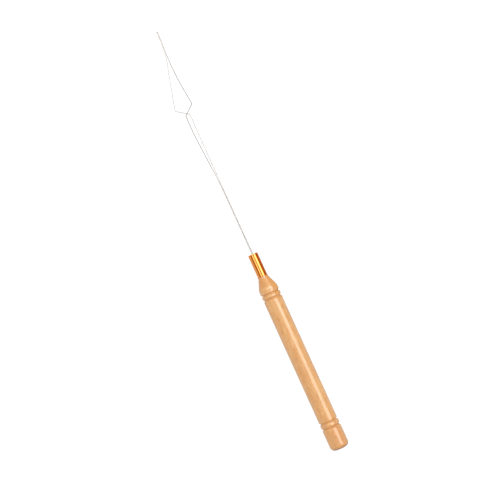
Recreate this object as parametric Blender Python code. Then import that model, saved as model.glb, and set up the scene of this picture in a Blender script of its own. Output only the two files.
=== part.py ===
"""Wire loop tool: a turned wooden handle, a metal ferrule and a spring-wire loop held in it by a resin plug.

The tool lies along X. The origin is the centre of the handle's butt face, +X points to the tip of the
wire, and the loop lies flat in the XY plane. Lengths are in metres; MM turns millimetres into metres.
"""

import math

import bmesh
import bpy
from mathutils import Matrix, Vector

MM = 0.001

# Handle, from the butt to the nose: butt, groove, bead, groove, body, groove, bead, groove, collar, cone.
# A swell is how much wider than the body a stretch is turned, across the diameter.
HANDLE_LENGTH = 79.85 * MM
BODY_DIAMETER = 8.15 * MM
BUTT_LENGTH = 9.4 * MM
BUTT_SWELL = 0.12 * MM
BUTT_EDGE_RADIUS = 1.9 * MM
REAR_BEAD_LENGTH = 1.3 * MM
REAR_BEAD_SWELL = 0.18 * MM
FRONT_BEAD_LENGTH = 1.0 * MM
FRONT_BEAD_SWELL = 0.1 * MM
BEAD_RADIUS = 1.2 * MM
GROOVE_WIDTH = 1.2 * MM
GROOVE_DEPTH = 0.54 * MM
GROOVE_ROOT_RADIUS = 0.16 * MM
GROOVE_LIP_RADIUS = 0.3 * MM
COLLAR_LENGTH = 1.85 * MM
COLLAR_SWELL = 0.1 * MM
COLLAR_EDGE_RADIUS = 2.0 * MM
NOSE_CONE_LENGTH = 5.5 * MM
NOSE_LIP_LENGTH = 0.75 * MM
NOSE_FILLET_RADIUS = 1.2 * MM
NOSE_WALL = 0.08 * MM
FERRULE_BORE_DEPTH = 12.0 * MM
DRILL_POINT_ANGLE = math.radians(118)

# Ferrule: a plain tube, glued into the nose of the handle.
FERRULE_DIAMETER = 4.2 * MM
FERRULE_WALL = 0.35 * MM
FERRULE_LENGTH = 21.8 * MM
FERRULE_EDGE_RADIUS = 0.12 * MM
FERRULE_END_GAP = 0.3 * MM
GLUE_FILM = 0.05 * MM

# Resin plug: it fills the ferrule around both tails of the wire and stops short of the tube's ends.
PLUG_MOUTH_RECESS = 0.9 * MM
PLUG_END_WALL = 1.0 * MM
WIRE_CLEARANCE = 0.05 * MM
CUTTER_OVERRUN = 1.0 * MM

# Loop wire, from the ferrule's mouth to the tip: shank, neck, blades, doubled tip. The two strands lie
# together at both ends. Each passes from one side to the other in the neck, so "wide" and "narrow" name
# the two sides of the tool's axis, +Y and -Y, and not the two strands.
WIRE_DIAMETER = 0.25 * MM
STRAND_GAP = 0.11 * MM
CROSSING_GAP = 0.1 * MM
TAIL_TO_FERRULE_REAR = 6.0 * MM
PARTING_FROM_MOUTH = 33.35 * MM
SHANK_LENGTH = 64.75 * MM
NECK_LENGTH = 3.7 * MM
BLADE_LENGTH = 21.9 * MM
TIP_LENGTH = 12.0 * MM
TIP_BEND_FROM_END = 3.5 * MM
ELBOW_WIDE_Y = 1.5 * MM
ELBOW_NARROW_Y = -0.4 * MM
SHOULDER_WIDE_Y = 4.8 * MM
SHOULDER_NARROW_Y = -3.0 * MM
MERGE_Y = -1.45 * MM
TIP_Y = -2.1 * MM
ELBOW_RADIUS = 0.35 * MM
SHOULDER_WIDE_RADIUS = 0.4 * MM
SHOULDER_NARROW_RADIUS = 0.9 * MM
SOFT_BEND_RADIUS = 150.0 * MM

# The long runs are slightly bowed. Each bow is a distance along X and the place in Y that it passes.
WIDE_SHANK_BOW = (7.4 * MM, 1.65 * MM)
NARROW_SHANK_BOW = (18.4 * MM, -0.2 * MM)
WIDE_BLADE_BOW = (14.9 * MM, 0.9 * MM)
NARROW_BLADE_BOW = (11.9 * MM, -1.75 * MM)

# Facets. An even count with half a step of turn leaves a flat facing down for the round pieces to lie on.
ROUND_SEGMENTS = 32
ARC_STEP = math.radians(22)
MIN_ARC_STEPS = 2
MIN_TURN = math.radians(0.1)
WIRE_SIDES = 8
SHARP_ANGLE = math.radians(35)
WELD_DISTANCE = 0.0001 * MM

# Places that follow from the sizes above.
REAR_BEAD_X = BUTT_LENGTH + GROOVE_WIDTH + REAR_BEAD_LENGTH / 2
CONE_X = HANDLE_LENGTH - NOSE_CONE_LENGTH
FRONT_BEAD_X = CONE_X - COLLAR_LENGTH - GROOVE_WIDTH - FRONT_BEAD_LENGTH / 2
BORE_END_X = HANDLE_LENGTH - FERRULE_BORE_DEPTH
BORE_RADIUS = FERRULE_DIAMETER / 2 + GLUE_FILM
FERRULE_REAR_X = BORE_END_X + FERRULE_END_GAP
MOUTH_X = FERRULE_REAR_X + FERRULE_LENGTH
PLUG_RADIUS = FERRULE_DIAMETER / 2 - FERRULE_WALL - GLUE_FILM
PLUG_FRONT_X = MOUTH_X - PLUG_MOUTH_RECESS
TAIL_END_X = FERRULE_REAR_X + TAIL_TO_FERRULE_REAR
SLOT_END_X = TAIL_END_X - WIRE_CLEARANCE
PLUG_REAR_X = SLOT_END_X - PLUG_END_WALL
STRAND_PITCH = WIRE_DIAMETER + STRAND_GAP
ELBOW_X = MOUTH_X + SHANK_LENGTH
SHOULDER_X = ELBOW_X + NECK_LENGTH
MERGE_X = SHOULDER_X + BLADE_LENGTH
TIP_X = MERGE_X + TIP_LENGTH


def clear_scene():
    """Removes whatever the file holds, so that only this model is left."""
    for item in list(bpy.data.objects):
        bpy.data.objects.remove(item)


def finish_material(name, colour, roughness, metallic):
    """A Principled material of one colour, given as linear red, green and blue."""
    material = bpy.data.materials.new(name)
    material.use_nodes = True
    shader = material.node_tree.nodes["Principled BSDF"]
    shader.inputs["Base Color"].default_value = (*colour, 1.0)
    shader.inputs["Roughness"].default_value = roughness
    shader.inputs["Metallic"].default_value = metallic
    return material


def rounded(corners):
    """The points of a polyline of (corner, bend radius) pairs, with an arc in place of each bent corner.

    A bend takes at most half of the straight run on either side of it.
    """
    points = [corners[0][0]]
    for (before, _), (corner, radius), (after, _) in zip(corners, corners[1:], corners[2:]):
        back = before - corner
        ahead = after - corner
        turn = math.pi - back.angle(ahead)
        reach = min(radius * math.tan(turn / 2), back.length / 2, ahead.length / 2)
        if radius == 0 or turn < MIN_TURN:
            points.append(corner)
            continue
        inward = (back.normalized() + ahead.normalized()).normalized()
        centre = corner + inward * reach / math.sin(turn / 2)
        arm = corner + back.normalized() * reach - centre
        steps = max(MIN_ARC_STEPS, math.ceil(turn / ARC_STEP))
        for step in range(steps + 1):
            points.append(centre + Matrix.Rotation(turn * step / steps, 3, ahead.cross(back)) @ arm)
    points.append(corners[-1][0])
    return points


def add_object(name, mesh, material):
    """Makes an object of a finished bmesh, shaded smooth apart from its hard edges."""
    bmesh.ops.recalc_face_normals(mesh, faces=mesh.faces)
    data = bpy.data.meshes.new(name)
    mesh.to_mesh(data)
    mesh.free()
    data.materials.append(material)
    data.shade_smooth()
    data.set_sharp_from_angle(angle=SHARP_ANGLE)
    item = bpy.data.objects.new(name, data)
    bpy.context.scene.collection.objects.link(item)
    return item


def turned(name, outline, material, closed=False):
    """Turns an outline of points (x, 0, -radius) about the X axis.

    The outline is first turned by half a step, so that a flat facet and not an edge faces down.
    """
    mesh = bmesh.new()
    half_step = Matrix.Rotation(math.pi / ROUND_SEGMENTS, 3, "X")
    ring = [mesh.verts.new(half_step @ point) for point in outline]
    edges = [mesh.edges.new(pair) for pair in zip(ring, ring[1:])]
    if closed:
        edges.append(mesh.edges.new((ring[-1], ring[0])))
    bmesh.ops.spin(
        mesh,
        geom=ring + edges,
        axis=(1, 0, 0),
        angle=2 * math.pi,
        steps=ROUND_SEGMENTS,
        use_merge=True,
    )
    bmesh.ops.remove_doubles(mesh, verts=mesh.verts, dist=WELD_DISTANCE)
    return add_object(name, mesh, material)


def corner(x, radius, bend=0.0):
    """One corner of a turned outline, with the radius of the edge or hollow there."""
    return Vector((x, 0, -radius)), bend


def bead_between_grooves(centre_x, bead_length, radius_behind, bead_radius, radius_ahead):
    """The outline's corners for a round bead, the groove on either side and the two rounded lips."""
    root_radius = BODY_DIAMETER / 2 - GROOVE_DEPTH
    rear_x = centre_x - bead_length / 2
    front_x = centre_x + bead_length / 2
    return [
        corner(rear_x - GROOVE_WIDTH, radius_behind, GROOVE_LIP_RADIUS),
        corner(rear_x - GROOVE_WIDTH / 2, root_radius, GROOVE_ROOT_RADIUS),
        corner(rear_x, bead_radius, BEAD_RADIUS),
        corner(front_x, bead_radius, BEAD_RADIUS),
        corner(front_x + GROOVE_WIDTH / 2, root_radius, GROOVE_ROOT_RADIUS),
        corner(front_x + GROOVE_WIDTH, radius_ahead, GROOVE_LIP_RADIUS),
    ]


def handle_outline():
    """From the middle of the butt, along the outside to the nose, then down the ferrule's blind hole."""
    body_radius = BODY_DIAMETER / 2
    butt_radius = body_radius + BUTT_SWELL / 2
    collar_radius = body_radius + COLLAR_SWELL / 2
    rear_bead_radius = body_radius + REAR_BEAD_SWELL / 2
    front_bead_radius = body_radius + FRONT_BEAD_SWELL / 2
    nose_radius = BORE_RADIUS + NOSE_WALL
    drill_point = BORE_RADIUS / math.tan(DRILL_POINT_ANGLE / 2)
    return rounded(
        [
            corner(0, 0),
            corner(0, butt_radius, BUTT_EDGE_RADIUS),
            *bead_between_grooves(REAR_BEAD_X, REAR_BEAD_LENGTH, butt_radius, rear_bead_radius, body_radius),
            *bead_between_grooves(
                FRONT_BEAD_X, FRONT_BEAD_LENGTH, body_radius, front_bead_radius, collar_radius
            ),
            corner(CONE_X, collar_radius, COLLAR_EDGE_RADIUS),
            corner(HANDLE_LENGTH - NOSE_LIP_LENGTH, nose_radius, NOSE_FILLET_RADIUS),
            corner(HANDLE_LENGTH, nose_radius),
            corner(HANDLE_LENGTH, BORE_RADIUS),
            corner(BORE_END_X, BORE_RADIUS),
            corner(BORE_END_X - drill_point, 0),
        ]
    )


def make_handle():
    wood = finish_material("lacquered_wood", (0.80, 0.52, 0.27), 0.3, 0.0)
    return turned("handle", handle_outline(), wood)


def make_ferrule():
    brass = finish_material("polished_brass", (0.85, 0.48, 0.14), 0.12, 1.0)
    outer = FERRULE_DIAMETER / 2
    inner = outer - FERRULE_WALL
    middle = outer - FERRULE_WALL / 2
    outline = rounded(
        [
            corner(FERRULE_REAR_X, middle),
            corner(FERRULE_REAR_X, outer, FERRULE_EDGE_RADIUS),
            corner(MOUTH_X, outer, FERRULE_EDGE_RADIUS),
            corner(MOUTH_X, inner, FERRULE_EDGE_RADIUS),
            corner(FERRULE_REAR_X, inner, FERRULE_EDGE_RADIUS),
            corner(FERRULE_REAR_X, middle),
        ]
    )
    return turned("ferrule", outline[:-1], brass, closed=True)


def slot_cutter():
    """A prism with half-round sides that leaves room for both tails, open at the plug's front face."""
    radius = WIRE_DIAMETER / 2 + WIRE_CLEARANCE
    mesh = bmesh.new()
    rim = []
    for step in range(2 * (WIRE_SIDES + 1)):
        side = 1 if step <= WIRE_SIDES else -1
        angle = math.pi * (step - (side < 0)) / WIRE_SIDES - math.pi / 2
        y = side * STRAND_PITCH / 2 + radius * math.cos(angle)
        rim.append(mesh.verts.new((SLOT_END_X, y, radius * math.sin(angle))))
    end = mesh.faces.new(rim)
    grown = bmesh.ops.extrude_face_region(mesh, geom=[end])
    moved = [element for element in grown["geom"] if isinstance(element, bmesh.types.BMVert)]
    length = PLUG_FRONT_X + CUTTER_OVERRUN - SLOT_END_X
    bmesh.ops.translate(mesh, verts=moved, vec=(length, 0, 0))
    cutter = add_object("slot_cutter", mesh, finish_material("guide", (0.5, 0.5, 0.5), 0.5, 0.0))
    cutter.hide_render = True
    cutter.display_type = "WIRE"
    return cutter


def make_plug():
    resin = finish_material("amber_resin", (0.45, 0.33, 0.16), 0.35, 0.0)
    outline = [
        corner(PLUG_REAR_X, 0),
        corner(PLUG_REAR_X, PLUG_RADIUS),
        corner(PLUG_FRONT_X, PLUG_RADIUS),
        corner(PLUG_FRONT_X, 0),
    ]
    plug = turned("resin_plug", [point for point, _ in outline], resin)
    cut = plug.modifiers.new("wire_slot", "BOOLEAN")
    cut.operation = "DIFFERENCE"
    cut.solver = "EXACT"
    cut.object = slot_cutter()
    return plug


def strand(side, shank_bow, elbow_y, shoulder_y, shoulder_radius, blade_bow):
    """One half of the wire, from its tail to the fold at the tip, as corners of the centreline.

    side is +1 or -1, the side of the axis that the strand leaves the ferrule on. It reaches the tip on
    the other side. In the neck it passes over or under the other strand, so it is lifted there.
    """
    pair_y = side * STRAND_PITCH / 2
    lift = side * (WIRE_DIAMETER + CROSSING_GAP) / 2
    bow_before_elbow, shank_bow_y = shank_bow
    bow_after_shoulder, blade_bow_y = blade_bow
    fold_x = TIP_X - WIRE_DIAMETER / 2
    return [
        (Vector((TAIL_END_X, pair_y, 0)), 0),
        (Vector((MOUTH_X + PARTING_FROM_MOUTH, pair_y, 0)), SOFT_BEND_RADIUS),
        (Vector((ELBOW_X - bow_before_elbow, shank_bow_y, 0)), SOFT_BEND_RADIUS),
        (Vector((ELBOW_X, elbow_y, lift)), ELBOW_RADIUS),
        (Vector((SHOULDER_X, shoulder_y, lift)), shoulder_radius),
        (Vector((SHOULDER_X + bow_after_shoulder, blade_bow_y, 0)), SOFT_BEND_RADIUS),
        (Vector((MERGE_X, MERGE_Y - pair_y, 0)), SOFT_BEND_RADIUS),
        (Vector((TIP_X - TIP_BEND_FROM_END, TIP_Y - pair_y, 0)), SOFT_BEND_RADIUS),
        (Vector((fold_x, TIP_Y - pair_y, 0)), STRAND_PITCH / 2),
    ]


def wire_centreline():
    """Out along the strand that starts on the wide side, round the fold, and back along the other."""
    upper = strand(
        1, WIDE_SHANK_BOW, ELBOW_WIDE_Y, SHOULDER_NARROW_Y, SHOULDER_NARROW_RADIUS, NARROW_BLADE_BOW
    )
    lower = strand(
        -1, NARROW_SHANK_BOW, ELBOW_NARROW_Y, SHOULDER_WIDE_Y, SHOULDER_WIDE_RADIUS, WIDE_BLADE_BOW
    )
    return rounded(upper + lower[::-1])


def make_wire():
    steel = finish_material("spring_steel", (0.42, 0.41, 0.40), 0.35, 1.0)
    points = wire_centreline()
    line = bpy.data.curves.new("loop_wire", "CURVE")
    line.dimensions = "3D"
    line.bevel_depth = WIRE_DIAMETER / 2
    line.bevel_resolution = WIRE_SIDES // 4
    line.use_fill_caps = True
    spline = line.splines.new("POLY")
    spline.points.add(len(points) - 1)
    for place, point in zip(spline.points, points):
        place.co = (*point, 1.0)
    line.materials.append(steel)
    wire = bpy.data.objects.new("loop_wire", line)
    bpy.context.scene.collection.objects.link(wire)
    return wire


def main():
    clear_scene()
    make_handle()
    make_ferrule()
    make_plug()
    make_wire()


main()
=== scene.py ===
"""Looks for the wire loop tool: turned wood, polished brass, drawn steel wire and resin.

The tool lies along X with its butt at the origin, the tip of the wire at +X and the loop flat in the XY
plane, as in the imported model. Lengths are in metres, and MM turns millimetres into metres. Each piece
is a finer copy of a CAD node's shape and replaces that node. The sizes come first, then the shapes, the
materials, the pieces and the studio.
"""

import math

import bmesh
import bpy
from mathutils import Matrix, Vector, noise


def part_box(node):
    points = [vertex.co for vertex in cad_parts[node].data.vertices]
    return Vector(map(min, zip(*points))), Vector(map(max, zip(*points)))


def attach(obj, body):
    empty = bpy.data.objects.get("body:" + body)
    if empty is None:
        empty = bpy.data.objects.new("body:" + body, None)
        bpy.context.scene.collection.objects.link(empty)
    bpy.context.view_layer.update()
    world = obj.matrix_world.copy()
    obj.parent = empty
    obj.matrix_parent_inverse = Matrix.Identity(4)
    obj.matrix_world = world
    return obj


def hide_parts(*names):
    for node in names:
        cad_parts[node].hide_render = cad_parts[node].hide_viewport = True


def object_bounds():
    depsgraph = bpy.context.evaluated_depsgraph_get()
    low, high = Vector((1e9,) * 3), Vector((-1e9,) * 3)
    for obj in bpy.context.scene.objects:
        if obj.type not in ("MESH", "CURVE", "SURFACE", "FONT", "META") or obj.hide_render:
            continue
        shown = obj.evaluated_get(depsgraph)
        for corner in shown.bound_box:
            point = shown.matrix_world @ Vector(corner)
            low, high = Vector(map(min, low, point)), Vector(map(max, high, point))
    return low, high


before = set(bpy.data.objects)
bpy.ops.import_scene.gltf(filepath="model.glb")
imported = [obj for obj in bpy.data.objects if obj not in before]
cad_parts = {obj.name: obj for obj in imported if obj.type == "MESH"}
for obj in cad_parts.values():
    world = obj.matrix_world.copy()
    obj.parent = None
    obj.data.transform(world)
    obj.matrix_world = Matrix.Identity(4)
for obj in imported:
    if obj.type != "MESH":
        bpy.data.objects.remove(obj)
cad_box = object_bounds()

MM = 0.001

# The handle's outline, as the part was designed. Its length comes from the frame.
BODY_RADIUS = 4.075 * MM
BUTT_LENGTH = 9.4 * MM
BUTT_RADIUS = 4.135 * MM
BUTT_EDGE_RADIUS = 1.9 * MM
REAR_BEAD_LENGTH = 1.3 * MM
REAR_BEAD_RADIUS = 4.165 * MM
FRONT_BEAD_LENGTH = 1.0 * MM
FRONT_BEAD_RADIUS = 4.125 * MM
BEAD_ROUNDING = 1.2 * MM
GROOVE_WIDTH = 1.2 * MM
GROOVE_DEPTH = 0.54 * MM
GROOVE_ROOT_ROUNDING = 0.16 * MM
GROOVE_LIP_ROUNDING = 0.3 * MM
COLLAR_LENGTH = 1.85 * MM
COLLAR_RADIUS = 4.125 * MM
COLLAR_EDGE_RADIUS = 2.0 * MM
NOSE_CONE_LENGTH = 5.5 * MM
NOSE_LIP_LENGTH = 0.75 * MM
NOSE_FILLET_RADIUS = 1.2 * MM
NOSE_WALL = 0.08 * MM
NOSE_RIM_ROUNDING = 0.05 * MM
GLUE_FILM = 0.05 * MM
BORE_DEPTH = 12.0 * MM
DRILL_POINT_ANGLE = math.radians(118)

FERRULE_WALL = 0.35 * MM
FERRULE_EDGE_RADIUS = 0.12 * MM

# The resin's front has shrunk to a shallow ring-shaped dish between the tube and the wire.
PLUG_REAR_ROUNDING = 0.2 * MM
PLUG_RIM_ROUNDING = 0.05 * MM
PLUG_DISH_DEPTH = 0.12 * MM
PLUG_DISH_ROUNDING = 0.3 * MM
PLUG_DISH_OUTER_SHARE = 0.8
PLUG_DISH_INNER_SHARE = 0.45

# The wire's two strands, as the part was designed.
WIRE_DIAMETER = 0.25 * MM
STRAND_PITCH = 0.36 * MM
CROSSING_GAP = 0.1 * MM
PARTING_FROM_MOUTH = 33.35 * MM
SHANK_LENGTH = 64.75 * MM
NECK_LENGTH = 3.7 * MM
BLADE_LENGTH = 21.9 * MM
TIP_BEND_FROM_END = 3.5 * MM
ELBOW_WIDE_Y = 1.5 * MM
ELBOW_NARROW_Y = -0.4 * MM
SHOULDER_WIDE_Y = 4.8 * MM
SHOULDER_NARROW_Y = -3.0 * MM
MERGE_Y = -1.45 * MM
TIP_Y = -2.1 * MM
ELBOW_RADIUS = 0.35 * MM
SHOULDER_WIDE_RADIUS = 0.4 * MM
SHOULDER_NARROW_RADIUS = 0.9 * MM
SOFT_BEND_RADIUS = 150.0 * MM
WIDE_SHANK_BOW = (7.4 * MM, 1.65 * MM)
NARROW_SHANK_BOW = (18.4 * MM, -0.2 * MM)
WIDE_BLADE_BOW = (14.9 * MM, 0.9 * MM)
NARROW_BLADE_BOW = (11.9 * MM, -1.75 * MM)

# Fineness of the surfaces.
ROUND_SEGMENTS = 192
ARC_STEP = math.radians(5)
FEWEST_ARC_STEPS = 3
STRAIGHT_ANGLE = math.radians(0.1)
LONGEST_STEP = 0.6 * MM
WIRE_SIDES = 20
WIRE_ARC_STEP = math.radians(8)
WIRE_STEP = 1.5 * MM
SHARP_ANGLE = math.radians(40)
ON_AXIS_RADIUS = 0.0001 * MM

# A hand-sanded dowel is a little out of true: the length of its waves, the radius of the circle on which
# their noise is read round the handle, and their depth as a share of the handle's radius.
WANDER_LENGTH = 9 * MM
WANDER_ROUND = 1.2
WANDER_SHARE = 0.002

# How far below the body's surface a groove starts to get its painted shade.
GROOVE_LIP_DEPTH = 0.1 * MM

# The photograph's view: straight down, with the tool's axis turned in the picture.
CAMERA_HEIGHT = 675.7 * MM
CAMERA_LENS_MM = 120
CAMERA_SENSOR_MM = 36
CAMERA_CLIP_START = 10 * MM
CAMERA_TURN = math.radians(-114.46)
AIM_AHEAD_OF_MOUTH = 7.67 * MM
AIM_TO_WIDE_SIDE = 2.35 * MM

handle_low, handle_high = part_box("handle")
ferrule_low, ferrule_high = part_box("ferrule")
wire_low, wire_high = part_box("loop_wire")
plug_low, plug_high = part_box("resin_plug")

# The CAD's round pieces have 32 flat sides, and their boxes touch the flats.
CAD_ROUND_SIDES = 32
FERRULE_RADIUS = ferrule_high.y / math.cos(math.pi / CAD_ROUND_SIDES)
PLUG_RADIUS = plug_high.y / math.cos(math.pi / CAD_ROUND_SIDES)
MOUTH_X = ferrule_high.x
CONE_X = handle_high.x - NOSE_CONE_LENGTH
MIDDLE_X = (handle_low.x + wire_high.x) / 2


# ---------------------------------------------------------------- shapes


def rounded(corners, arc_step=ARC_STEP):
    """The points of a polyline of (corner, bend radius) pairs, with an arc in place of each corner."""
    points = [corners[0][0]]
    for (before, _), (corner, radius), (after, _) in zip(corners, corners[1:], corners[2:]):
        back = before - corner
        ahead = after - corner
        turn = math.pi - back.angle(ahead)
        reach = min(radius * math.tan(turn / 2), back.length / 2, ahead.length / 2)
        if radius == 0 or turn < STRAIGHT_ANGLE:
            points.append(corner)
            continue
        inward = (back.normalized() + ahead.normalized()).normalized()
        centre = corner + inward * reach / math.sin(turn / 2)
        arm = corner + back.normalized() * reach - centre
        steps = max(FEWEST_ARC_STEPS, math.ceil(turn / arc_step))
        for step in range(steps + 1):
            points.append(centre + Matrix.Rotation(turn * step / steps, 3, ahead.cross(back)) @ arm)
    points.append(corners[-1][0])
    return points


def stepped(points, longest):
    """The same line with its long straight stretches cut into steps of at most that length."""
    out = [points[0]]
    for here, there in zip(points, points[1:]):
        cuts = max(1, math.ceil((there - here).length / longest))
        out += [here.lerp(there, cut / cuts) for cut in range(1, cuts + 1)]
    return out


def corner(x, radius, bend=0.0):
    """One corner of a turned outline, with the radius of the edge or hollow there."""
    return Vector((x, 0, -radius)), bend


def add_object(name, mesh, material):
    """Turns a bmesh into an object with smooth faces, faces out and one material."""
    bmesh.ops.recalc_face_normals(mesh, faces=mesh.faces)
    data = bpy.data.meshes.new(name)
    mesh.to_mesh(data)
    mesh.free()
    data.materials.append(material)
    data.shade_smooth()
    data.set_sharp_from_angle(angle=SHARP_ANGLE)
    item = bpy.data.objects.new(name, data)
    bpy.context.scene.collection.objects.link(item)
    return item


def turned(name, outline, material, closed=False, shape=None):
    """Turns an outline about the X axis. shape returns a factor on the radius at a place on it."""
    mesh = bmesh.new()
    rings = []
    for point in outline:
        radius = -point.z
        if radius < ON_AXIS_RADIUS:
            rings.append([mesh.verts.new((point.x, 0, 0))])
            continue
        ring = []
        for step in range(ROUND_SEGMENTS):
            angle = 2 * math.pi * step / ROUND_SEGMENTS
            r = radius * (shape(point.x, radius, angle) if shape else 1)
            ring.append(mesh.verts.new((point.x, r * math.sin(angle), -r * math.cos(angle))))
        rings.append(ring)
    pairs = list(zip(rings, rings[1:]))
    if closed:
        pairs.append((rings[-1], rings[0]))
    for one, two in pairs:
        for step in range(ROUND_SEGMENTS):
            after = (step + 1) % ROUND_SEGMENTS
            if len(one) == 1:
                mesh.faces.new((one[0], two[after], two[step]))
            elif len(two) == 1:
                mesh.faces.new((one[step], one[after], two[0]))
            else:
                mesh.faces.new((one[step], one[after], two[after], two[step]))
    return add_object(name, mesh, material)


def bead_between_grooves(centre_x, bead_length, radius_behind, bead_radius, radius_ahead):
    """The outline's corners from the lip of the groove behind a bead to the lip of the one ahead."""
    root_radius = BODY_RADIUS - GROOVE_DEPTH
    rear_x = centre_x - bead_length / 2
    front_x = centre_x + bead_length / 2
    return [
        corner(rear_x - GROOVE_WIDTH, radius_behind, GROOVE_LIP_ROUNDING),
        corner(rear_x - GROOVE_WIDTH / 2, root_radius, GROOVE_ROOT_ROUNDING),
        corner(rear_x, bead_radius, BEAD_ROUNDING),
        corner(front_x, bead_radius, BEAD_ROUNDING),
        corner(front_x + GROOVE_WIDTH / 2, root_radius, GROOVE_ROOT_ROUNDING),
        corner(front_x + GROOVE_WIDTH, radius_ahead, GROOVE_LIP_ROUNDING),
    ]


def handle_outline():
    """From the middle of the butt along the outside to the nose, and back into the blind bore."""
    nose_x = handle_high.x
    bore_end_x = nose_x - BORE_DEPTH
    bore_radius = FERRULE_RADIUS + GLUE_FILM
    nose_radius = bore_radius + NOSE_WALL
    rear_bead_x = handle_low.x + BUTT_LENGTH + GROOVE_WIDTH + REAR_BEAD_LENGTH / 2
    front_bead_x = CONE_X - COLLAR_LENGTH - GROOVE_WIDTH - FRONT_BEAD_LENGTH / 2
    return stepped(
        rounded(
            [
                corner(handle_low.x, 0),
                corner(handle_low.x, BUTT_RADIUS, BUTT_EDGE_RADIUS),
                *bead_between_grooves(
                    rear_bead_x, REAR_BEAD_LENGTH, BUTT_RADIUS, REAR_BEAD_RADIUS, BODY_RADIUS
                ),
                *bead_between_grooves(
                    front_bead_x, FRONT_BEAD_LENGTH, BODY_RADIUS, FRONT_BEAD_RADIUS, COLLAR_RADIUS
                ),
                corner(CONE_X, COLLAR_RADIUS, COLLAR_EDGE_RADIUS),
                corner(nose_x - NOSE_LIP_LENGTH, nose_radius, NOSE_FILLET_RADIUS),
                corner(nose_x, nose_radius, NOSE_RIM_ROUNDING),
                corner(nose_x, bore_radius, NOSE_RIM_ROUNDING),
                corner(bore_end_x, bore_radius),
                corner(bore_end_x - bore_radius / math.tan(DRILL_POINT_ANGLE / 2), 0),
            ]
        ),
        LONGEST_STEP,
    )


def strand(side, shank_bow, elbow_y, shoulder_y, shoulder_radius, blade_bow):
    """One strand's corners from its tail to the fold. side is 1 for the upper strand, -1 for the lower."""
    pair_y = side * STRAND_PITCH / 2
    lift = side * (WIRE_DIAMETER + CROSSING_GAP) / 2
    bow_before_elbow, shank_bow_y = shank_bow
    bow_after_shoulder, blade_bow_y = blade_bow
    elbow_x = MOUTH_X + SHANK_LENGTH
    shoulder_x = elbow_x + NECK_LENGTH
    fold_x = wire_high.x - WIRE_DIAMETER / 2
    return [
        (Vector((wire_low.x, pair_y, 0)), 0),
        (Vector((MOUTH_X + PARTING_FROM_MOUTH, pair_y, 0)), SOFT_BEND_RADIUS),
        (Vector((elbow_x - bow_before_elbow, shank_bow_y, 0)), SOFT_BEND_RADIUS),
        (Vector((elbow_x, elbow_y, lift)), ELBOW_RADIUS),
        (Vector((shoulder_x, shoulder_y, lift)), shoulder_radius),
        (Vector((shoulder_x + bow_after_shoulder, blade_bow_y, 0)), SOFT_BEND_RADIUS),
        (Vector((shoulder_x + BLADE_LENGTH, MERGE_Y - pair_y, 0)), SOFT_BEND_RADIUS),
        (Vector((wire_high.x - TIP_BEND_FROM_END, TIP_Y - pair_y, 0)), SOFT_BEND_RADIUS),
        (Vector((fold_x, TIP_Y - pair_y, 0)), STRAND_PITCH / 2),
    ]


def wire_line():
    """The whole wire, out along the upper strand and back along the lower one."""
    upper = strand(
        1, WIDE_SHANK_BOW, ELBOW_WIDE_Y, SHOULDER_NARROW_Y, SHOULDER_NARROW_RADIUS, NARROW_BLADE_BOW
    )
    lower = strand(
        -1, NARROW_SHANK_BOW, ELBOW_NARROW_Y, SHOULDER_WIDE_Y, SHOULDER_WIDE_RADIUS, WIDE_BLADE_BOW
    )
    return stepped(rounded(upper + lower[::-1], WIRE_ARC_STEP), WIRE_STEP)


def swept_wire(name, points, radius, material):
    """A round wire along a line. Its vector attribute, drawn, runs along the wire and round it."""
    mesh = bmesh.new()
    drawn = mesh.verts.layers.float_vector.new("drawn")
    rings = []
    along = 0.0
    up = Vector((0, 0, 1))
    for index, point in enumerate(points):
        before = points[max(index - 1, 0)]
        after = points[min(index + 1, len(points) - 1)]
        ahead = (after - before).normalized()
        side = ahead.cross(up).normalized()
        top = side.cross(ahead)
        along += (point - before).length
        ring = []
        for step in range(WIRE_SIDES):
            angle = 2 * math.pi * step / WIRE_SIDES
            out = side * math.cos(angle) + top * math.sin(angle)
            vert = mesh.verts.new(point + out * radius)
            vert[drawn] = (along, radius * math.cos(angle), radius * math.sin(angle))
            ring.append(vert)
        rings.append(ring)
    for one, two in zip(rings, rings[1:]):
        for step in range(WIRE_SIDES):
            after = (step + 1) % WIRE_SIDES
            mesh.faces.new((one[step], one[after], two[after], two[step]))
    mesh.faces.new(rings[0])
    mesh.faces.new(rings[-1])
    return add_object(name, mesh, material)


# ---------------------------------------------------------------- materials


def new_material(name):
    material = bpy.data.materials.new(name)
    material.use_nodes = True
    tree = material.node_tree
    return material, tree, tree.nodes["Principled BSDF"]


def put(tree, kind, inputs=None, **settings):
    """Adds a node, with its settings, and its inputs as values or as links from other sockets."""
    made = tree.nodes.new(kind)
    for name, value in settings.items():
        setattr(made, name, value)
    for name, value in (inputs or {}).items():
        feed(tree, made, name, value)
    return made


def feed(tree, target, name, value):
    socket = target.inputs[name]
    if isinstance(value, bpy.types.NodeSocket):
        tree.links.new(value, socket)
    else:
        socket.default_value = value


def object_place(tree):
    return put(tree, "ShaderNodeTexCoord").outputs["Object"]


def parts_of(tree, vector):
    """The X, Y and Z of a vector, as a node's outputs."""
    return put(tree, "ShaderNodeSeparateXYZ", {"Vector": vector}).outputs


def stretched(tree, vector, scale, turn=(0, 0, 0), shift=(0, 0, 0)):
    """Moved and scaled coordinates. scale is in cells of noise for each metre."""
    inputs = {"Vector": vector, "Location": shift, "Rotation": turn, "Scale": scale}
    return put(tree, "ShaderNodeMapping", inputs).outputs["Vector"]


def grain_noise(tree, vector, detail=3.0, roughness=0.55):
    inputs = {"Vector": vector, "Scale": 1.0, "Detail": detail, "Roughness": roughness}
    return put(tree, "ShaderNodeTexNoise", inputs).outputs["Fac"]


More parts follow.
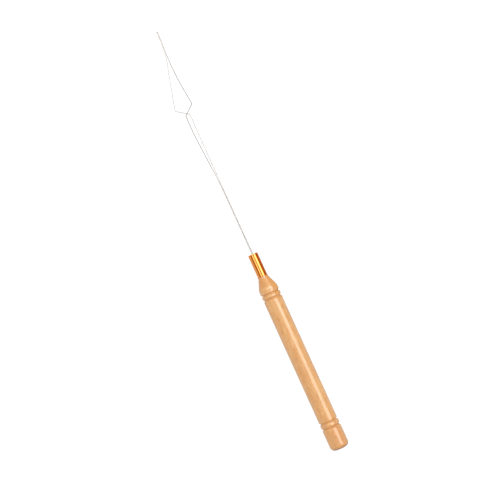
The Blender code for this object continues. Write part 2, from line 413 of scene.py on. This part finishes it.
def ranged(tree, value, low, high, out_low=0.0, out_high=1.0):
    """A smooth step from out_low where value is low to out_high where it is high."""
    inputs = {"Value": value, "From Min": low, "From Max": high, "To Min": out_low, "To Max": out_high}
    return put(tree, "ShaderNodeMapRange", inputs, interpolation_type="SMOOTHSTEP").outputs["Result"]


def mixed(tree, factor, one, two):
    """Colour one where factor is 0 and colour two where it is 1. Sockets 6 and 7 are the node's colours."""
    made = put(tree, "ShaderNodeMix", data_type="RGBA", blend_type="MIX")
    feed(tree, made, 0, factor)
    feed(tree, made, 6, one)
    feed(tree, made, 7, two)
    return made.outputs[2]


def arithmetic(tree, operation, one, two=0.0):
    made = put(tree, "ShaderNodeMath", operation=operation)
    feed(tree, made, 0, one)
    feed(tree, made, 1, two)
    return made.outputs[0]


def product(tree, one, two):
    return arithmetic(tree, "MULTIPLY", one, two)


def bumped(tree, height, strength, distance):
    made = put(tree, "ShaderNodeBump", {"Height": height, "Strength": strength, "Distance": distance})
    return made.outputs["Normal"]


# Each noise in the wood: cells for each metre along the grain and across it, detail, roughness, and a
# shift that keeps it clear of the others.
WOOD_NOISES = {
    "blotches": (30, 170, 2.0, 0.55, (0, 0, 0)),
    "streaks": (45, 1500, 4.0, 0.6, (0, 0, 0)),
    "mottle": (220, 620, 3.0, 0.65, (1, 2, 3)),
    "fibres": (260, 8500, 3.0, 0.6, (0, 0, 0)),
    "flecks": (700, 6500, 1.0, 0.55, (3, 5, 7)),
    "pores": (500, 5200, 2.0, 0.55, (7, 1, 2)),
}

# The trunk's axis lies well outside the handle and a little askew to it, so the rings show as long lines.
TRUNK_SHIFT = (0, 0.021, 0.016)
TRUNK_TURN = (0, 0.012, 0.02)
TRUNK_STRETCH = (8, 1, 1)
RING_SCALE = 260.0

WOOD_BASE = ((0.67, 0.333, 0.11, 1), (0.70, 0.367, 0.123, 1))

# What is laid over the base, in this order: the pattern, where it starts and is strongest, how strong it
# is there, and its colour.
WOOD_LAYERS = (
    ("streaks", 0.3, 0.7, 0.45, (0.62, 0.272, 0.078, 1)),
    ("mottle", 0.52, 0.68, 0.5, (0.60, 0.23, 0.045, 1)),
    ("mottle", 0.48, 0.34, 0.4, (0.76, 0.44, 0.19, 1)),
    ("rings", 0.6, 1.0, 0.2, (0.50, 0.23, 0.09, 1)),
    ("fibres", 0.5, 0.72, 0.35, (0.52, 0.21, 0.06, 1)),
    ("fibres", 0.48, 0.3, 0.35, (0.80, 0.48, 0.21, 1)),
    ("flecks", 0.62, 0.70, 0.6, (0.34, 0.14, 0.05, 1)),
)

# Painted shade for the roots of the grooves and for the walls that face the butt.
GROOVE_ROOT_SHADE = (0.42, 0.13, 0.045, 1)
GROOVE_WALL_SHADE = (0.40, 0.12, 0.04, 1)
END_GRAIN_TONE = (0.28, 0.095, 0.03, 1)
END_RING_TONE = (0.13, 0.04, 0.015, 1)
END_PORE_TONE = (0.12, 0.04, 0.015, 1)
# Painted shade near the butt, in random patches, and on one side of the cone.
HEEL_SHADE = (0.58, 0.24, 0.07, 1)
CONE_SIDE_SHADE = (0.60, 0.25, 0.06, 1)
JOINT_TONE = (0.34, 0.12, 0.04, 1)

# Where each stretch of the handle starts and ends its change of tone, ahead of the butt or behind the nose.
BUTT_FADE = (1 * MM, 3 * MM)
HEEL_FADE = (4 * MM, 17 * MM)
CONE_RISE = (5.0 * MM, 4.2 * MM)
JOINT_RISE = (0.5 * MM, 0.2 * MM)
SIDE_REACH = 3 * MM

# Where painted shade darkens the wire's upper strand and where it ends, measured from its tail.
STRAND_SHADE_RISE = (45 * MM, 65 * MM)
STRAND_SHADE_FADE = (102 * MM, 116 * MM)

# How deep each material's relief is.
WOOD_BUMP = 0.03 * MM
BRASS_BUMP = 0.01 * MM
STEEL_BUMP = 0.004 * MM
RESIN_BUMP = 0.03 * MM


def wood_patterns(tree, place):
    """The wood's noises by name, and the growth rings of the trunk that it was cut from."""
    patterns = {}
    for name, (along, across, detail, roughness, shift) in WOOD_NOISES.items():
        vector = stretched(tree, place, (along, across, across), shift=shift)
        patterns[name] = grain_noise(tree, vector, detail, roughness)
    trunk = stretched(tree, place, TRUNK_STRETCH, TRUNK_TURN, TRUNK_SHIFT)
    patterns["rings"] = put(
        tree,
        "ShaderNodeTexWave",
        {"Vector": trunk, "Scale": RING_SCALE, "Distortion": 2.5, "Detail": 2.0, "Detail Scale": 0.8},
        wave_type="RINGS",
        rings_direction="X",
        wave_profile="SAW",
    ).outputs["Fac"]
    return patterns


def wood_figure(tree, patterns):
    colour = mixed(tree, ranged(tree, patterns["blotches"], 0.35, 0.65), *WOOD_BASE)
    for name, start, strongest, strength, tone in WOOD_LAYERS:
        colour = mixed(tree, ranged(tree, patterns[name], start, strongest, 0.0, strength), colour, tone)
    return colour


def with_painted_groove_shade(tree, colour, facing_x):
    """Paints shade into the roots of the grooves, and more into the walls that face the butt."""
    hollow = put(tree, "ShaderNodeAttribute", attribute_name="hollow").outputs["Fac"]
    colour = mixed(tree, ranged(tree, hollow, 0.8, 1.0, 0.0, 0.08), colour, GROOVE_ROOT_SHADE)
    facing_butt = ranged(tree, facing_x, -0.25, -0.6, 0.0, 0.55)
    near_lip = product(tree, ranged(tree, hollow, 0.0, 0.15), ranged(tree, hollow, 0.35, 0.85, 1.0, 0.1))
    return mixed(tree, product(tree, facing_butt, near_lip), colour, GROOVE_WALL_SHADE)


def with_end_grain(tree, colour, patterns, facing_x, along):
    """Shows the cut ends of the fibres, with rings and pores, on the flat of the butt."""
    cut = mixed(tree, ranged(tree, patterns["rings"], 0.55, 1.0, 0.0, 0.7), END_GRAIN_TONE, END_RING_TONE)
    cut = mixed(tree, ranged(tree, patterns["pores"], 0.45, 0.7, 0.0, 0.6), cut, END_PORE_TONE)
    facing_along = ranged(tree, arithmetic(tree, "ABSOLUTE", facing_x), 0.4, 0.75)
    fade_start, fade_end = (handle_low.x + reach for reach in BUTT_FADE)
    butt = ranged(tree, along, fade_start, fade_end, 1.0, 0.0)
    return mixed(tree, product(tree, facing_along, butt), colour, cut)


def with_painted_shade_and_dark_joint(tree, colour, patterns, along, across):
    """Paints a warm shade, broken into random patches, near the butt and on one side of the cone, and
    darkens the joint with the ferrule.
    """
    side = ranged(tree, across, -SIDE_REACH, SIDE_REACH)
    fade_start, fade_end = (handle_low.x + reach for reach in HEEL_FADE)
    heel = ranged(tree, along, fade_start, fade_end, 1.0, 0.0)
    patches = ranged(tree, product(tree, side, patterns["mottle"]), 0.1, 0.6, 0.45, 0.2)
    colour = mixed(tree, product(tree, heel, patches), colour, HEEL_SHADE)
    rise_start, rise_end = (handle_high.x - reach for reach in CONE_RISE)
    cone = ranged(tree, along, rise_start, rise_end)
    one_side = ranged(tree, side, 0.2, 0.9, 0.1, 0.8)
    colour = mixed(tree, product(tree, cone, one_side), colour, CONE_SIDE_SHADE)
    rise_start, rise_end = (handle_high.x - reach for reach in JOINT_RISE)
    return mixed(tree, ranged(tree, along, rise_start, rise_end, 0.0, 0.6), colour, JOINT_TONE)


def wood_material():
    """Pale, fine-grained hardwood under clear lacquer, cut from the side of a much wider trunk."""
    material, tree, shader = new_material("lacquered_wood_fine")
    place = object_place(tree)
    along, across, _ = parts_of(tree, place)
    facing_x = parts_of(tree, put(tree, "ShaderNodeNewGeometry").outputs["Normal"])["X"]
    patterns = wood_patterns(tree, place)
    colour = wood_figure(tree, patterns)
    colour = with_painted_groove_shade(tree, colour, facing_x)
    colour = with_end_grain(tree, colour, patterns, facing_x, along)
    colour = with_painted_shade_and_dark_joint(tree, colour, patterns, along, across)
    feed(tree, shader, "Base Color", colour)
    feed(tree, shader, "Roughness", ranged(tree, patterns["streaks"], 0.2, 0.8, 0.38, 0.52))
    shader.inputs["Specular IOR Level"].default_value = 0.3
    shader.inputs["Coat Weight"].default_value = 1.0
    shader.inputs["Coat Roughness"].default_value = 0.16
    shader.inputs["Coat IOR"].default_value = 1.72
    relief = arithmetic(tree, "ADD", product(tree, patterns["fibres"], 0.5), patterns["streaks"])
    feed(tree, shader, "Normal", bumped(tree, relief, 0.25, WOOD_BUMP))
    feed(tree, shader, "Coat Normal", bumped(tree, relief, 0.04, WOOD_BUMP))
    return material


def brass_material():
    """Polished drawn tube with a thin amber lacquer, which reddens it where it is seen at a slant."""
    material, tree, shader = new_material("polished_brass_fine")
    place = object_place(tree)
    lines = grain_noise(tree, stretched(tree, place, (60, 9000, 9000)), 3.0, 0.6)
    clouds = grain_noise(tree, stretched(tree, place, (150, 500, 500)))
    deep, bright, cloudy = (0.86, 0.30, 0.034, 1), (0.90, 0.345, 0.048, 1), (0.83, 0.275, 0.03, 1)
    colour = mixed(tree, ranged(tree, lines, 0.3, 0.7), deep, bright)
    colour = mixed(tree, ranged(tree, clouds, 0.45, 0.75, 0.0, 0.3), colour, cloudy)
    feed(tree, shader, "Base Color", colour)
    feed(tree, shader, "Roughness", ranged(tree, clouds, 0.2, 0.8, 0.06, 0.10))
    shader.inputs["Metallic"].default_value = 1.0
    shader.inputs["Coat Weight"].default_value = 1.0
    shader.inputs["Coat Roughness"].default_value = 0.08
    shader.inputs["Coat IOR"].default_value = 1.6
    shader.inputs["Specular Tint"].default_value = (1.0, 0.6, 0.3, 1)
    feed(tree, shader, "Normal", bumped(tree, lines, 0.12, BRASS_BUMP))
    return material


def steel_material():
    """Drawn spring wire: grey with fine lines that follow it, and painted shade that darkens the upper
    strand.
    """
    material, tree, shader = new_material("spring_steel_fine")
    drawn = put(tree, "ShaderNodeAttribute", attribute_name="drawn").outputs["Vector"]
    lines = grain_noise(tree, stretched(tree, drawn, (90, 26000, 26000)), 3.0, 0.6)
    clouds = grain_noise(tree, stretched(tree, drawn, (400, 3000, 3000)), 2.0)
    dark, bright, strand_shade = (0.33, 0.315, 0.30, 1), (0.42, 0.405, 0.39, 1), (0.11, 0.09, 0.085, 1)
    colour = mixed(tree, ranged(tree, lines, 0.3, 0.7), dark, bright)
    along = parts_of(tree, drawn)["X"]
    # Painted shade darkens the upper strand.
    rising = ranged(tree, along, *STRAND_SHADE_RISE, 0.3, 0.85)
    falling = ranged(tree, along, *STRAND_SHADE_FADE, 1.0, 0.0)
    colour = mixed(tree, product(tree, rising, falling), colour, strand_shade)
    feed(tree, shader, "Base Color", colour)
    feed(tree, shader, "Roughness", ranged(tree, clouds, 0.3, 0.7, 0.3, 0.42))
    shader.inputs["Metallic"].default_value = 1.0
    feed(tree, shader, "Normal", bumped(tree, lines, 0.2, STEEL_BUMP))
    return material


def resin_material():
    """Cured amber glue, a little cloudy and with small bubbles."""
    material, tree, shader = new_material("amber_resin_fine")
    place = object_place(tree)
    clouds = grain_noise(tree, stretched(tree, place, (1500, 1500, 1500)))
    bubbles = put(tree, "ShaderNodeTexVoronoi", {"Vector": place, "Scale": 3800.0}).outputs["Distance"]
    dark, pale, bubble = (0.46, 0.24, 0.07, 1), (0.60, 0.35, 0.13, 1), (0.78, 0.60, 0.36, 1)
    colour = mixed(tree, ranged(tree, clouds, 0.3, 0.7), dark, pale)
    colour = mixed(tree, ranged(tree, bubbles, 0.1, 0.2, 0.4, 0.0), colour, bubble)
    feed(tree, shader, "Base Color", colour)
    feed(tree, shader, "Roughness", ranged(tree, clouds, 0.3, 0.7, 0.18, 0.3))
    shader.inputs["Subsurface Weight"].default_value = 0.2
    feed(tree, shader, "Normal", bumped(tree, clouds, 0.3, RESIN_BUMP))
    return material


# ---------------------------------------------------------------- pieces


def turning_wander(x, radius, angle):
    """The factor that takes the turned wood a little out of true, but not at the nose or in the bore."""
    if radius < FERRULE_RADIUS + GLUE_FILM + NOSE_WALL:
        return 1.0
    spot = Vector((x / WANDER_LENGTH, WANDER_ROUND * math.cos(angle), WANDER_ROUND * math.sin(angle)))
    return 1 - WANDER_SHARE * (0.5 + 0.5 * noise.noise(spot))


def hollow_attribute(piece):
    """Marks how deep in a groove each vertex of the handle lies, from 0 at its lip to 1 at its root."""
    data = piece.data.attributes.new("hollow", "FLOAT", "POINT")
    for index, vert in enumerate(piece.data.vertices):
        radius = math.hypot(vert.co.y, vert.co.z)
        inside = handle_low.x + BUTT_EDGE_RADIUS < vert.co.x < CONE_X
        below_lip = BODY_RADIUS - GROOVE_LIP_DEPTH - radius
        depth = below_lip / (GROOVE_DEPTH - GROOVE_LIP_DEPTH) if inside else 0
        data.data[index].value = min(1, max(0, depth))


def make_handle():
    piece = turned("handle_turned", handle_outline(), wood_material(), shape=turning_wander)
    hollow_attribute(piece)
    return piece


def make_ferrule():
    """The tube's wall is turned as a closed ring, which starts in the middle of its hidden rear end."""
    outer = FERRULE_RADIUS
    inner = outer - FERRULE_WALL
    middle = outer - FERRULE_WALL / 2
    outline = rounded(
        [
            corner(ferrule_low.x, middle),
            corner(ferrule_low.x, outer, FERRULE_EDGE_RADIUS),
            corner(ferrule_high.x, outer, FERRULE_EDGE_RADIUS),
            corner(ferrule_high.x, inner, FERRULE_EDGE_RADIUS),
            corner(ferrule_low.x, inner, FERRULE_EDGE_RADIUS),
            corner(ferrule_low.x, middle),
        ]
    )
    return turned("ferrule_tube", stepped(outline, LONGEST_STEP)[:-1], brass_material(), closed=True)


def make_plug():
    dish_x = plug_high.x - PLUG_DISH_DEPTH
    outline = rounded(
        [
            corner(plug_low.x, 0),
            corner(plug_low.x, PLUG_RADIUS, PLUG_REAR_ROUNDING),
            corner(plug_high.x, PLUG_RADIUS, PLUG_RIM_ROUNDING),
            corner(dish_x, PLUG_RADIUS * PLUG_DISH_OUTER_SHARE, PLUG_DISH_ROUNDING),
            corner(dish_x, PLUG_RADIUS * PLUG_DISH_INNER_SHARE, PLUG_DISH_ROUNDING),
            corner(plug_high.x, 0),
        ]
    )
    return turned("resin_fill", stepped(outline, LONGEST_STEP), resin_material())


def make_wire():
    return swept_wire("wire_loop", wire_line(), WIRE_DIAMETER / 2, steel_material())


def make_pieces():
    for make, node, slot in (
        (make_handle, "handle", "lacquered_wood"),
        (make_ferrule, "ferrule", "polished_brass"),
        (make_plug, "resin_plug", "amber_resin"),
        (make_wire, "loop_wire", "spring_steel"),
    ):
        piece = make()
        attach(piece, "root")
        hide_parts(node)


# ---------------------------------------------------------------- studio


FLOOR_HALF = 3.0
FLOOR_SEGMENTS = 8
FLOOR_GLOW = 0.86
FLOOR_TONES = ((0.20, 0.20, 0.20, 1), (0.22, 0.22, 0.22, 1))
WORLD_RADIANCE = 0.38

# Each softbox: the angles from straight overhead towards +Y that it spans, in degrees, its radiance,
# whether reflections see it, and the one piece that it lights, if it doesn't light them all.
SOFTBOXES = {
    "key_softbox": (-51, -16, 3.0, True, None),
    "overhead_fill": (-8, 14, 1.2, False, None),
    "ferrule_softbox": (9, 31, 2.1, True, "ferrule_tube"),
    "fill_softbox": (12, 62, 1.1, False, None),
}
SOFTBOX_DISTANCE = 0.9
SOFTBOX_LENGTH = 1.2
SOFTBOX_AHEAD = 0.08
FRONT_FILL_LEAN = 66
FRONT_FILL_SIZE = 0.6
FRONT_FILL_RADIANCE = 0.75

# The cards that only reflections see: how near to the tool and how far from it they reach, how far they
# run past its ends and past a joint between pieces, and how high they float above the floor.
CARD_NEAR = 1 * MM
CARD_FAR = 60 * MM
CARD_OVERHANG = 100 * MM
CARD_SPILL = 12 * MM
CARD_LIFT = 0.5 * MM

# The warm walls and the dark gap: their edges' angles from overhead, in degrees, and their distances.
WIDE_WALL_TOP = (67, 1.15 * CARD_FAR)
WARM_WALL_TOP = (-52, 1.6 * CARD_FAR)
DARK_GAP_SPAN = ((35, 1.5 * CARD_FAR), (64, 1.5 * CARD_FAR))

# The ceiling card gives the turned shoulders their highlights. Its leans are towards the tip, in degrees.
CEILING_HEIGHT = 1.1
CEILING_LEANS = (5, 30)

# Each card's colour and radiance.
CARD_LOOKS = {
    "wide_side_card": ((1, 0.93, 0.86), 0.76),
    "wood_card": ((1, 0.93, 0.86), 0.6),
    "ferrule_card": ((1, 0.4, 0.06), 0.45),
    "ferrule_flag": ((1, 0.5, 0.05), 0.4),
    "ceiling_card": ((1, 0.97, 0.93), 3.0),
}


def make_floor():
    material, tree, shader = new_material("studio_floor")
    tone = grain_noise(tree, stretched(tree, object_place(tree), (6, 6, 6)), 2.0)
    feed(tree, shader, "Base Color", mixed(tree, tone, *FLOOR_TONES))
    shader.inputs["Roughness"].default_value = 0.9
    shader.inputs["Specular IOR Level"].default_value = 0.1
    shader.inputs["Emission Color"].default_value = (1, 1, 1, 1)
    shader.inputs["Emission Strength"].default_value = FLOOR_GLOW
    mesh = bmesh.new()
    bmesh.ops.create_grid(mesh, x_segments=FLOOR_SEGMENTS, y_segments=FLOOR_SEGMENTS, size=FLOOR_HALF)
    floor = add_object("studio_floor", mesh, material)
    floor.location = (MIDDLE_X, 0, cad_box[0].z)


def make_card(name, from_x, to_x, line):
    """A glowing card that only reflections see: a line of (y, z) places, drawn out along the tool."""
    colour, radiance = CARD_LOOKS[name]
    material, _, shader = new_material(name)
    shader.inputs["Base Color"].default_value = (0, 0, 0, 1)
    shader.inputs["Emission Color"].default_value = (*colour, 1)
    shader.inputs["Emission Strength"].default_value = radiance
    mesh = bmesh.new()
    rows = [[mesh.verts.new((x, y, z)) for x in (from_x, to_x)] for y, z in line]
    for one, two in zip(rows, rows[1:]):
        mesh.faces.new((one[0], one[1], two[1], two[0]))
    card = add_object(name, mesh, material)
    card.visible_camera = False
    card.visible_diffuse = False
    card.visible_shadow = False
    card.visible_transmission = False


def leaned(lean, distance):
    """The place in Y and Z at that angle from straight overhead towards +Y, in degrees."""
    return distance * math.sin(math.radians(lean)), distance * math.cos(math.radians(lean))


def make_cards():
    """What the gloss reflects besides the softboxes: dim ground, warm walls, a dark gap and a ceiling."""
    rear_x = handle_low.x - CARD_OVERHANG
    joint_x = handle_high.x - CARD_SPILL
    past_mouth_x = MOUTH_X + CARD_SPILL
    front_x = wire_high.x + CARD_OVERHANG
    ground_z = cad_box[0].z + CARD_LIFT
    wide_ground = [(CARD_NEAR, ground_z), (CARD_FAR, ground_z)]
    narrow_ground = [(-CARD_NEAR, ground_z), (-CARD_FAR, ground_z)]
    make_card("wide_side_card", rear_x, front_x, [*wide_ground, leaned(*WIDE_WALL_TOP)])
    make_card("wood_card", rear_x, joint_x, narrow_ground[::-1])
    make_card("ferrule_card", joint_x, front_x, [*narrow_ground, leaned(*WARM_WALL_TOP)])
    make_card("ferrule_flag", joint_x, past_mouth_x, [leaned(*edge) for edge in DARK_GAP_SPAN])
    near, far = (math.tan(math.radians(lean)) * CEILING_HEIGHT for lean in CEILING_LEANS)
    ceiling = [(-CEILING_HEIGHT, CEILING_HEIGHT), (CEILING_HEIGHT, CEILING_HEIGHT)]
    make_card("ceiling_card", CONE_X + near, CONE_X + far, ceiling)


def add_area_light(name, size, radiance, place, turn, reflected):
    """A rectangular lamp that the camera doesn't see. size is its length along X and across."""
    data = bpy.data.lights.new(name, "AREA")
    data.shape = "RECTANGLE"
    data.size, data.size_y = size
    data.energy = radiance * math.pi * data.size * data.size_y
    light = bpy.data.objects.new(name, data)
    bpy.context.scene.collection.objects.link(light)
    light.location = place
    light.rotation_euler = turn
    light.visible_camera = False
    light.visible_glossy = reflected
    return light


def make_softbox(name, from_angle, to_angle, radiance, reflected, only_piece):
    """A long softbox parallel to the tool that fills those angles as seen from it."""
    lean = math.radians(from_angle + to_angle) / 2
    half = math.radians(to_angle - from_angle) / 2
    size = (SOFTBOX_LENGTH, 2 * SOFTBOX_DISTANCE * math.tan(half))
    middle = Vector((MIDDLE_X + SOFTBOX_AHEAD, 0, 0))
    place = middle + SOFTBOX_DISTANCE * Vector((0, math.sin(lean), math.cos(lean)))
    light = add_area_light(name, size, radiance, place, (-lean, 0, 0), reflected)
    if only_piece:
        lit = bpy.data.collections.new(name)
        lit.objects.link(bpy.data.objects[only_piece])
        light.light_linking.receiver_collection = lit


def make_front_fill():
    """A low fill from beyond the tip, which lights the nose cone and leaves the butt's end in shade."""
    lean = math.radians(FRONT_FILL_LEAN)
    place = handle_high + SOFTBOX_DISTANCE * Vector((math.sin(lean), 0, math.cos(lean)))
    size = (FRONT_FILL_SIZE, FRONT_FILL_SIZE)
    add_area_light("front_fill", size, FRONT_FILL_RADIANCE, place, (0, lean, 0), False)


def make_world():
    world = bpy.data.worlds.new("studio")
    world.use_nodes = True
    background = world.node_tree.nodes["Background"]
    background.inputs["Color"].default_value = (1, 1, 1, 1)
    background.inputs["Strength"].default_value = WORLD_RADIANCE
    bpy.context.scene.world = world


def make_lights():
    for name, spans in SOFTBOXES.items():
        make_softbox(name, *spans)
    make_front_fill()


def make_camera():
    data = bpy.data.cameras.new("camera")
    data.lens = CAMERA_LENS_MM
    data.sensor_width = CAMERA_SENSOR_MM
    data.clip_start = CAMERA_CLIP_START
    camera = bpy.data.objects.new("camera", data)
    bpy.context.scene.collection.objects.link(camera)
    camera.location = (MOUTH_X + AIM_AHEAD_OF_MOUTH, AIM_TO_WIDE_SIDE, CAMERA_HEIGHT)
    camera.rotation_euler = (0, 0, CAMERA_TURN)
    bpy.context.scene.camera = camera
    bpy.context.scene.view_settings.view_transform = "Standard"


make_pieces()
make_floor()
make_cards()
make_world()
make_lights()
make_camera()
